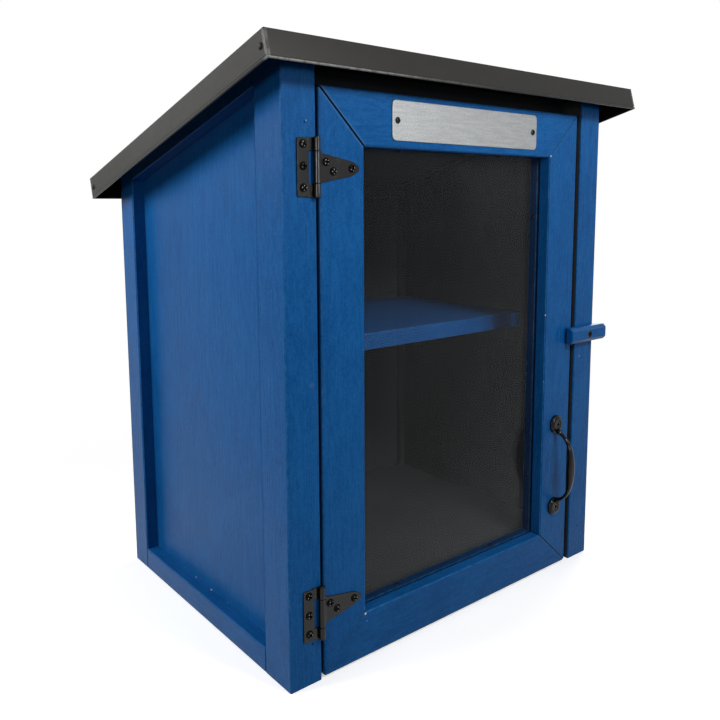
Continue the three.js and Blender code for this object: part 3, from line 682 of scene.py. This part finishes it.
# Painted shade: pieces with this in their name get their colours darkened to this share, the glazing
# beads for the shaded recess behind the pane, the header for the shade under the roof
paintedShadeTones = {"bead": 0.42, "front_header": 0.20}
edgeRadii = {"left_shelf_cleat": 0.8, "right_shelf_cleat": 0.8, "sign_plate": 0.35}
for axis, radius, worn, names in timber:
    for name in names:
        edges = cornersOf(name, axis) if worn else ()
        twoTone = not ("door" in name or "bead" in name or name in ("shelf", "turn_button"))
        seams = [mitres[corner] for corner in mitresOf.get(name, ())]
        tone = next((paintedShadeTones[part] for part in paintedShadeTones if part in name), 1)
        marks = paintMarks.get(name, ())
        dress(name, paintedTimber(f"bluePaint_{name}", axis, edges, marks, seams, twoTone, tone))
        if radius:
            edgeRadii[name] = radius
for axis, name in (("x", "floor_panel"), ("x", "roof_deck"),
                   ("y", "left_shelf_cleat"), ("y", "right_shelf_cleat")):
    dress(name, darkTimber(f"darkPaint_{name}", axis))
roofCoat = powderCoated("roofPowderCoat")
hardwareCoat = glossBlack("hardwareCoat", roughness=0.22, level=0.26)
barrelCoat = glossBlack("barrelCoat", roughness=0.10, level=0.24)
screwCoat = glossBlack("screwCoat", roughness=0.08, level=0.26)
handleCoat = glossBlack("handleCoat", roughness=0.08, level=0.16)
for name in nodes:
    if name.startswith("roof_rivet") or name == "roof_cap":
        dress(name, roofCoat)
    elif "hinge" in name or "screw" in name or name == "door_handle":
        dress(name, hardwareCoat)
dress("sign_plate", brushed("brushedSheet"))
dress("door_pane", clearSheet("clearSheet"))
print("stage 3: finishes on", len(nodes), "pieces")

# Rounded edges of the timber and the sign: flat faces are joined, then sharp edges are rounded
rounded = Settings(weld=0.002 * mm, flat=math.radians(1), sharp=math.radians(25), segments=3)
for name, radius in edgeRadii.items():
    piece = nodes[name]
    weld = piece.modifiers.new("weld", "WELD")
    weld.merge_threshold = rounded.weld
    joined = piece.modifiers.new("joined", "DECIMATE")
    joined.decimate_type = "DISSOLVE"
    joined.angle_limit = rounded.flat
    rounding = piece.modifiers.new("rounding", "BEVEL")
    rounding.width = radius * mm
    rounding.segments = rounded.segments
    rounding.limit_method = "ANGLE"
    rounding.angle_limit = rounded.sharp
    rounding.use_clamp_overlap = False
    rounding.harden_normals = True
print("stage 3b: edges rounded")

# Stage: a pale floor, white all round, and soft lamps
studio = Settings(
    floorRadius=14, floorRings=40, floorSides=64, floorDrop=0.02 * mm,
    floorColour=(0.80, 0.80, 0.80), floorLift=(0.46, 0.46, 0.46), bounceColour=(0.12, 0.12, 0.125),
    mottle=(30, 3, 0.6), mottleSpread=0.02, farEdges=(0.34, 0.78), ambient=0.12,
    # name, place, width, height and power
    lamps=(
        ("keyLamp", (0, -0.76, 0.84), 0.16, 0.16, 3.9),
        ("leftLamp", (-1.08, 0.22, 0.82), 0.45, 0.45, 10),
        ("sheenLamp", (-0.85, 1, 0.75), 0.50, 0.50, 1),
        ("frontLamp", (-0.2, -1.2, 1.5), 0.90, 0.90, 1.2),
        ("rightStrip", (0.21, -1.30, 0.55), 0.09, 0.18, 3),
        ("leftStrip", (-1.22, -0.81, 0.54), 0.09, 0.18, 2.8),
        ("glanceLamp", (0.67, -1.09, 0.95), 0.14, 0.14, 1.3),
        ("rearLamp", (1.45, 0.45, 0.90), 0.80, 0.80, 12),
    ),
    lampAim=(0, 0, 0.35),
)


# Floor: rings of growing radius about the origin, a hair below height zero
def floorGrid(settings):
    share = np.linspace(0, 1, settings.floorRings) ** 2
    profile = np.stack([share * settings.floorRadius, np.zeros_like(share)], axis=1)
    return turnedGrid(profile, (0, 0, -settings.floorDrop), (0, 0, 1), settings.floorSides)


# Where it is seen, the floor is pale and turns to white with distance; for bounced light it is dark
def floorFinish(settings):
    finish = Finish("paleFloor")
    seen = finish.seen()
    away = finish.node("VectorMath", {0: finish.place}, operation="LENGTH")
    mottle = finish.noise(settings.mottle)
    colour = finish.mix(seen, settings.bounceColour, settings.floorColour)
    matt = finish.node("BsdfDiffuse", {"Color": colour})
    lift = finish.node("Emission", {"Color": finish.mix(seen, (0, 0, 0), settings.floorLift)})
    matt = finish.node("AddShader", {0: matt, 1: lift})
    white = finish.node("Emission", {"Color": (1, 1, 1)})
    far = (away + (mottle - 0.5) * settings.mottleSpread).step(*settings.farEdges)
    return finish.close(finish.node("MixShader", {0: far * seen, 1: matt, 2: white}))


# The floor, the lamps, and a sky that is white where it is seen and dim for bounced light
def setStage(settings):
    floor = meshObject("floor", [floorGrid(settings)], floorFinish(settings))
    world = bpy.data.worlds.new("studio")
    bpy.context.scene.world = world
    world.use_nodes = True
    sky = Nodes(world.node_tree)
    strength = sky.node("MapRange", {"Value": sky.seen(), "To Min": settings.ambient})
    background = sky.node("Background", {"Color": (1, 1, 1), "Strength": strength})
    sky.node("OutputWorld", {"Surface": background})
    for name, place, wide, tall, power in settings.lamps:
        data = bpy.data.lights.new(name, "AREA")
        data.shape = "DISK" if wide == tall else "RECTANGLE"
        data.size = wide
        data.size_y = tall
        data.energy = power
        light = bpy.data.objects.new(name, data)
        light.location = place
        light.visible_camera = False
        light.rotation_mode = "QUATERNION"
        ahead = Vector(settings.lampAim) - Vector(place)
        light.rotation_quaternion = ahead.to_track_quat("-Z", "Y")
        bpy.context.scene.collection.objects.link(light)


setStage(studio)
print("stage 4: floor and lamps set")


# Screws: a domed head whose cross recess has sloping sides, a shank and a point
panHead = Settings(
    dome=2.2, recessDepth=0.95, armHalf=0.21, armReach=0.58, rings=34, sides=72, ringEase=0.8,
    barSlope=(1.35, 0.7), endSlope=(1.08, 0.30), dip=0.45 * mm, point=3 * mm,
)
# Radius and height of the head, and radius and length of the shank
screwKinds = {
    "hinge": inMm(3.8, 2, 1.6, 14),
    "sign": inMm(3.2, 1.5, 1.2, 10),
    "bead": inMm(2.5, 1.2, 1.1, 9),
    "handle": inMm(3.6, 2.2, 1.7, 20),
    "button": inMm(4.3, 2.6, 2, 30),
}
flushKinds = ("handle", "button")
# Turns of the screws' recesses, in radians; the sign's and the beads' grow with their number
spins = Settings(
    leaf=(0.5, 0.2, 0.9), strap=(0.1, 0.75, 0.4), handle=0.4, button=0.35, sign=0.3, beadSide=0.4,
    beadEnd=0.7,
)


# 1 inside a cross of two bars and 0 outside, with a soft slope: each bar fades over its half width
# and over its reach
def crossRecess(across, up):
    half, reach = panHead.armHalf, panHead.armReach
    (sideStart, sideRun), (endStart, endRun) = panHead.barSlope, panHead.endSlope

    def bar(a, b):
        side = np.clip((half * sideStart - np.abs(a)) / (half * sideRun), 0, 1)
        end = np.clip((reach * endStart - np.abs(b)) / (reach * endRun), 0, 1)
        return side * end
    return np.maximum(bar(across, up), bar(up, across))


# Head height = dome less recess, over radius and angle, and below it the shank and its point. A flush
# head is a shallow dish and tapers to the shank instead.
def screwGrid(kind, centre, axis, spin):
    radius, height, shank, length = screwKinds[kind]
    sides = panHead.sides
    share = np.linspace(0, 1, panHead.rings)[:, None] ** panHead.ringEase
    angle = np.linspace(0, 2 * np.pi, sides, endpoint=False) + spin
    cross = crossRecess(share * np.cos(angle), share * np.sin(angle))
    if kind in flushKinds:
        rise = -panHead.dip * np.cos(share * np.pi / 2)
        neck = [(shank, -height)]
    else:
        rise = (1 - share ** panHead.dome) ** 0.5 * height
        neck = [(radius, 0), (shank, 0)]
    rise = rise - cross * panHead.recessDepth * height
    rings = np.broadcast_to(share * radius, rise.shape)
    tail = np.array(neck + [(shank, panHead.point - length), (0, -length)])
    rings = np.concatenate([rings, np.broadcast_to(tail[:, :1], (len(tail), sides))])
    rise = np.concatenate([rise, np.broadcast_to(tail[:, 1:], (len(tail), sides))])
    axis = np.asarray(axis, float)
    ring = ringAbout(axis, sides)
    return np.asarray(centre, float) + rings[..., None] * ring[None] + rise[..., None] * axis


def middleOf(name):
    low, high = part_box(name)
    return (low + high) / 2


# A screw in place of the CAD's, at its middle, with the head on the given face
def fineScrew(name, kind, face, spin, body, material):
    spot = middleOf(name)
    grid = screwGrid(kind, (spot.x, face, spot.z), front, spin)
    addPiece(f"{name}_fine", [grid], body, material)


front = (0, -1, 0)
sheetThickness = 1.5 * mm
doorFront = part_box("door_left_stile")[0].y
hingeFace = doorFront - sheetThickness
hingeScrewCoat = wornScrew("hingeScrewCoat", hingeFace - screwKinds["hinge"][1])
for level in ("upper", "lower"):
    for count in (1, 2, 3):
        for part, body in (("leaf", "cabinet"), ("strap", "door")):
            name, spin = f"{level}_{part}_screw_{count}", spins[part][count - 1]
            fineScrew(name, "hinge", hingeFace, spin, body, hingeScrewCoat)
    name = f"{level}_handle_screw"
    fineScrew(name, "handle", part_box(name)[0].y, spins.handle, "door", screwCoat)
signFace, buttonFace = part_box("sign_plate")[0].y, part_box("turn_button")[0].y
for count in (1, 2):
    fineScrew(f"sign_screw_{count}", "sign", signFace, spins.sign * count, "door", hardwareCoat)
fineScrew("turn_button_screw", "button", buttonFace, spins.button, "cabinet", handleCoat)

# Bead screws: two through each bead, from the opening's side into the door's frame
leftSide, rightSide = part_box("left_glazing_bead")[1].x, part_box("right_glazing_bead")[0].x
bottomSide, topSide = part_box("bottom_glazing_bead")[1].z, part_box("top_glazing_bead")[0].z
beadRows = Settings(depth=doorFront + 21.5 * mm, heights=inMm(119, 432), places=inMm(-78.5, 69))
for count, z in enumerate(beadRows.heights, start=1):
    for side, x, axis in (("left", leftSide, (1, 0, 0)), ("right", rightSide, (-1, 0, 0))):
        grid = screwGrid("bead", (x, beadRows.depth, z), axis, spins.beadSide * count)
        addPiece(f"{side}_bead_screw_{count}", [grid], "door", hardwareCoat)
for count, x in enumerate(beadRows.places, start=1):
    for side, z, axis in (("bottom", bottomSide, (0, 0, 1)), ("top", topSide, (0, 0, -1))):
        grid = screwGrid("bead", (x, beadRows.depth, z), axis, spins.beadEnd * count)
        addPiece(f"{side}_bead_screw_{count}", [grid], "door", hardwareCoat)
print("stage 5: screws made")

# Hinges: each is a plate, and a sheet that runs from it under the pin and rolls round it
hinge = Settings(
    sheet=sheetThickness, rollDegrees=305, rollSteps=40, rollCornerSteps=5, runSteps=8, runEnd=0.08,
    runEase=0.3, armCornerSteps=3, noseShare=0.30, strapCornerSteps=7, pinHeadSteps=9, pinSides=40,
    leafCorners=inMm(1.6, 0.6, 0.6, 1.6), strapCorners=inMm(0.6, 2.2, 1.8, 1.8, 2.2, 0.6),
    **lengths(
        edge=0.4, barrel=3.1, rollThinner=0.01, rollCorner=0.45, runSink=0.02, runUnder=1.5,
        armToPin=3.3, armProud=0.04, armLap=2, armCorner=0.3, leafWidth=12.2, leafToPin=7.2,
        knuckle=27.7, gap=0.4, strapRoot=26.1, strapEnd=12.4, strapLength=48.5, nose=4.5, shoulder=2.4,
        strapToPin=5, overhang=0.5, pinRadius=1.5, pinHead=2.5, pinHeadHeight=1.2,
    ),
)


# The sheet's path: a run that eases from the plate to the pin's back, then a circle about the pin; its
# section is as thick as the sheet and as high as the knuckle, with rounded corners
def rolledGrid(pin, side, reach, low, high):
    radius = hinge.barrel - hinge.sheet / 2
    angle = np.linspace(0, math.radians(hinge.rollDegrees), hinge.rollSteps)
    outward = np.stack([-side * np.sin(angle), np.cos(angle)], axis=1)
    curl = np.array(pin) + outward * radius
    ahead = np.linspace(1, hinge.runEnd, hinge.runSteps)
    level = doorFront - hinge.sheet / 2 - hinge.runSink
    depth = curl[0, 1] + (level - curl[0, 1]) * ahead ** hinge.runEase
    run = np.stack([pin[0] + side * reach * ahead, depth], axis=1)
    plan = np.concatenate([run, curl])
    outward = np.concatenate([np.broadcast_to([0, 1], run.shape), outward])
    middle = (low + high) / 2
    path = np.column_stack([plan, np.full(len(plan), middle)])
    across = np.column_stack([outward, np.zeros(len(plan))])
    upward = np.broadcast_to(zAxis, path.shape)
    halfHigh, halfThick = (high - low) / 2, hinge.sheet / 2 - hinge.rollThinner
    section = roundedOutline([
        (-halfThick, -halfHigh), (halfThick, -halfHigh), (halfThick, halfHigh), (-halfThick, halfHigh),
    ], hinge.rollCorner, hinge.rollCornerSteps)
    return carriedGrid(path, across, upward, section[:, 0][None], section[:, 1][None])


for level in ("upper", "lower"):
    low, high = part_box(f"{level}_hinge_leaf")
    top, bottom = high.z - hinge.overhang, low.z + hinge.overhang
    middle = (top + bottom) / 2
    pinSpot = middleOf(f"{level}_hinge_pin")
    pin = (pinSpot.x, pinSpot.y)
    plateRight = pin[0] - hinge.leafToPin
    plateLeft = plateRight - hinge.leafWidth
    corners = [(plateLeft, bottom), (plateRight, bottom), (plateRight, top), (plateLeft, top)]
    outline = roundedOutline(corners, hinge.leafCorners)
    leaf = [plateGrid(outline, doorFront, hingeFace, hinge.edge)]
    tab = (top - bottom - hinge.knuckle) / 2 - hinge.gap / 2
    reach = hinge.leafToPin + hinge.runUnder
    armLeft, armRight = plateRight - hinge.armLap, pin[0] - hinge.armToPin
    armFront = hingeFace - hinge.armProud
    for armLow, armHigh in ((top - tab, top), (bottom, bottom + tab)):
        corners = [(armLeft, armLow), (armRight, armLow), (armRight, armHigh), (armLeft, armHigh)]
        arm = roundedOutline(corners, hinge.armCorner, hinge.armCornerSteps)
        leaf.append(plateGrid(arm, doorFront, armFront, hinge.edge))
    evenNormals(addPiece(f"{level}_hinge_leaf_fine", leaf, "cabinet", hardwareCoat))
    rolls = [rolledGrid(pin, -1, reach, top - tab, high.z), rolledGrid(pin, -1, reach, low.z, bottom + tab)]
    evenNormals(addPiece(f"{level}_hinge_leaf_rolls", rolls, "cabinet", barrelCoat))
    root = pin[0] + hinge.strapToPin
    nose = pin[0] + hinge.strapLength
    bend = nose - hinge.nose - hinge.shoulder
    half, end = hinge.strapRoot / 2, hinge.strapEnd / 2
    tip = end * hinge.noseShare
    corners = [(root, middle - half), (bend, middle - end), (nose, middle - tip), (nose, middle + tip),
               (bend, middle + end), (root, middle + half)]
    outline = roundedOutline(corners, hinge.strapCorners, hinge.strapCornerSteps)
    knuckleHalf = hinge.knuckle / 2 - hinge.gap / 2
    strap = plateGrid(outline, doorFront, hingeFace, hinge.edge)
    evenNormals(addPiece(f"{level}_hinge_strap_fine", [strap], "door", hardwareCoat))
    reach = hinge.strapToPin + hinge.runUnder
    roll = rolledGrid(pin, 1, reach, middle - knuckleHalf, middle + knuckleHalf)
    evenNormals(addPiece(f"{level}_hinge_strap_roll", [roll], "door", barrelCoat))
    dome = domeProfile(hinge.pinHead, 0, hinge.pinHeadHeight, hinge.pinHeadSteps)
    head = np.concatenate([[[hinge.pinRadius, 0]], dome])
    profile = np.concatenate([head[::-1] * [1, -1] + [0, low.z], head + [0, high.z]])
    pinGrid = turnedGrid(profile, (*pin, 0), (0, 0, 1), hinge.pinSides)
    addPiece(f"{level}_hinge_pin_fine", [pinGrid], "cabinet", barrelCoat)
print("stage 6: hinges made")

# Pull handle: a bar that widens in the middle, bowed between two domed feet
pull = Settings(
    squareness=3.4, fall=0.66, steps=110, sides=44, reach=0.86, endShare=0.985, swellReach=0.52,
    knobAt=0.965, knobReach=0.035, roundness=2, flatness=1.1, footFlat=0.60, footSteps=14, footSides=64,
    cup=(0.44, 0.36, 0.35),
    **lengths(
        bow=24.3, endHalfWidth=2, swell=3.7, halfDepth=2, depthSwell=0.9, knob=1.3, footRadius=10.8,
        footDepth=4.5, rim=0.8, cupLip=0.5, cupDepth=2.6,
    ),
)


# Height share s runs from -1 to 1. Bow = full bow * (1 - |s| ^ squareness) ^ fall. The section is
# |x| ^ n + |y| ^ n = 1, and its width, depth and n grow by a bell curve towards the middle; a small
# knob stands at each end: knob * exp(-((|s| - place) / reach) ^ 2).
def handleGrid(x, middle, half):
    share = np.sin(np.linspace(-np.pi / 2, np.pi / 2, pull.steps)) * pull.endShare
    out = pull.bow * (1 - np.abs(share) ** pull.squareness) ** pull.fall
    height = middle + share * half * pull.reach
    path = np.stack([np.full(len(share), x), doorFront - out, height], axis=1)
    tangent = np.gradient(path, axis=0)
    tangent /= np.linalg.norm(tangent, axis=1)[:, None]
    wide = np.broadcast_to(xAxis, path.shape)
    outward = np.cross(tangent, wide)
    bell = np.exp(-((share / pull.swellReach) ** 2))[:, None]
    fromKnob = (np.abs(share) - pull.knobAt) / pull.knobReach
    knob = pull.knob * np.exp(-(fromKnob ** 2))[:, None]
    angle = np.linspace(0, 2 * np.pi, pull.sides, endpoint=False)[None]
    power = 2 / (pull.roundness + pull.flatness * bell)
    unitX = np.sign(np.cos(angle)) * np.abs(np.cos(angle)) ** power
    unitY = np.sign(np.sin(angle)) * np.abs(np.sin(angle)) ** power
    halfWidth = pull.endHalfWidth + pull.swell * bell + knob
    halfDepth = pull.halfDepth + pull.depthSwell * bell + knob
    return carriedGrid(path, wide, outward, halfWidth * unitX, halfDepth * unitY)


upperFoot, lowerFoot = middleOf("upper_handle_screw"), middleOf("lower_handle_screw")
half = (upperFoot.z - lowerFoot.z) / 2
cupEdge, cupWall, cupFloor = (share * pull.footRadius for share in pull.cup)
footProfile = np.concatenate([
    [[0, 0], [pull.footRadius, 0]],
    domeProfile(pull.footRadius, pull.rim, pull.footDepth, pull.footSteps, pull.footFlat),
    [[cupEdge, pull.footDepth],
     [cupWall, pull.footDepth - pull.cupLip],
     [cupFloor, pull.footDepth - pull.cupDepth],
     [0, pull.footDepth - pull.cupDepth]],
])
handle = [handleGrid(upperFoot.x, (upperFoot.z + lowerFoot.z) / 2, half)]
for spot in (upperFoot, lowerFoot):
    handle.append(turnedGrid(footProfile, (spot.x, doorFront, spot.z), front, pull.footSides))
addPiece("door_handle_fine", handle, "door", handleCoat)
print("stage 7: handle made")

# A point on the roof: origin + x across + distance down the slope + height square to it
def onRoof(x, down, height):
    x, down, height = (np.asarray(value)[..., None] for value in (x, down, height))
    return roofOrigin + x * xAxis + down * roofAlong + height * roofUp


# Rings of a rectangle with rounded corners, one for each inset and height of the folded profile
def trayGrid(profile):
    half = np.array([roof.halfWidth, roof.length / 2])
    turn = np.linspace(0, np.pi / 2, roof.cornerSteps)
    rings = []
    for inset, height in profile:
        radius = max(roof.plumbCorner - inset, roof.leastCorner)
        core = np.maximum(half - inset - radius, 0)
        radius = radius if core[0] > 0 else 0
        corners = []
        for quarter, (signX, signY) in enumerate(((1, 1), (-1, 1), (-1, -1), (1, -1))):
            angle = turn + quarter * np.pi / 2
            corners.append(np.stack([
                signX * core[0] + radius * np.cos(angle),
                half[1] + signY * core[1] + radius * np.sin(angle),
            ], axis=1))
        plan = np.concatenate(corners)
        rings.append(onRoof(plan[:, 0], plan[:, 1], height))
    return np.stack(rings)


turn = np.linspace(0, np.pi / 2, roof.bendSteps)
bendIn = roof.setIn + roof.bend
topFold = [(bendIn - roof.bend * math.sin(t), -roof.bend * (1 - math.cos(t))) for t in turn]
hemTurn = np.radians(np.linspace(*roof.hemDegrees, roof.hemSteps))
rollMiddle = roof.roll - roof.fascia
hemRoll = [(roof.roll * (1 - math.cos(t)), rollMiddle - roof.roll * math.sin(t)) for t in hemTurn]
inside = roof.setIn + roof.sheet
grooveIn, grooveUp = roof.groove
hemIn, hemUp = roof.hem
profile = (
    [(roof.halfWidth, 0), (bendIn + roof.flatEdge, 0)] + topFold
    + [(roof.setIn, -roof.bend - roof.straight), (roof.setIn, rollMiddle + roof.grooveTop),
       (roof.setIn + grooveIn, rollMiddle + grooveUp)]
    + hemRoll
    + [(hemIn, rollMiddle + hemUp), (hemIn, -roof.hemTop), (inside, -roof.hemTop),
       (inside, -roof.sheet - roof.innerBend), (inside + roof.innerBend, -roof.sheet),
       (roof.halfWidth, -roof.sheet)]
)
capGrids = [trayGrid(profile)]
# Lips: round bars down the corners, which swell from nothing at both ends
share = np.linspace(0, 1, roof.lipSteps)
height = -roof.lipTop - share[:, None] * (roof.fascia - roof.lipLess)
ringTurn = np.linspace(0, 2 * np.pi, roof.lipSides, endpoint=False)
taper = np.clip(np.minimum(share, 1 - share) * roof.lipTaper, 0, 1)
radius = roof.lipRadius * np.sin(taper * np.pi / 2)[:, None]
for signX in (-1, 1):
    for down, signY in ((0, 1), (roof.length, -1)):
        for awayX, awayY in ((roof.lipAway, roof.lipRadius), (roof.lipRadius, roof.lipAway)):
            x = signX * (roof.halfWidth - awayX) + radius * np.cos(ringTurn)
            y = down + signY * awayY + radius * np.sin(ringTurn)
            capGrids.append(onRoof(x, y, height))
evenNormals(addPiece("roof_cap_fine", capGrids, "cabinet", roofCoat))

# Rivets: a low dome with a thin flat rim, and a tail inside. Height = rim + dome * sqrt(1 - r^2)
rivet = Settings(
    domeShare=0.86, domeSteps=12, sides=48,
    **lengths(radius=3, rim=0.25, dome=1.5, shank=1.6, tail=5),
)
rivetProfile = np.concatenate([
    [[0, -rivet.tail], [rivet.shank, -rivet.tail], [rivet.shank, 0],
     [rivet.radius, 0], [rivet.radius, rivet.rim]],
    domeProfile(rivet.domeShare * rivet.radius, rivet.rim, rivet.dome, rivet.domeSteps),
])
for name in nodes:
    if name.startswith("roof_rivet"):
        low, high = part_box(name)
        side = -1 if name.endswith("left") else 1
        spot = (side * roof.halfWidth, (low.y + high.y) / 2, (low.z + high.z) / 2)
        grid = turnedGrid(rivetProfile, spot, (side, 0, 0), rivet.sides)
        addPiece(f"{name}_fine", [grid], "cabinet", roofCoat)
print("stage 8: roof cap made")
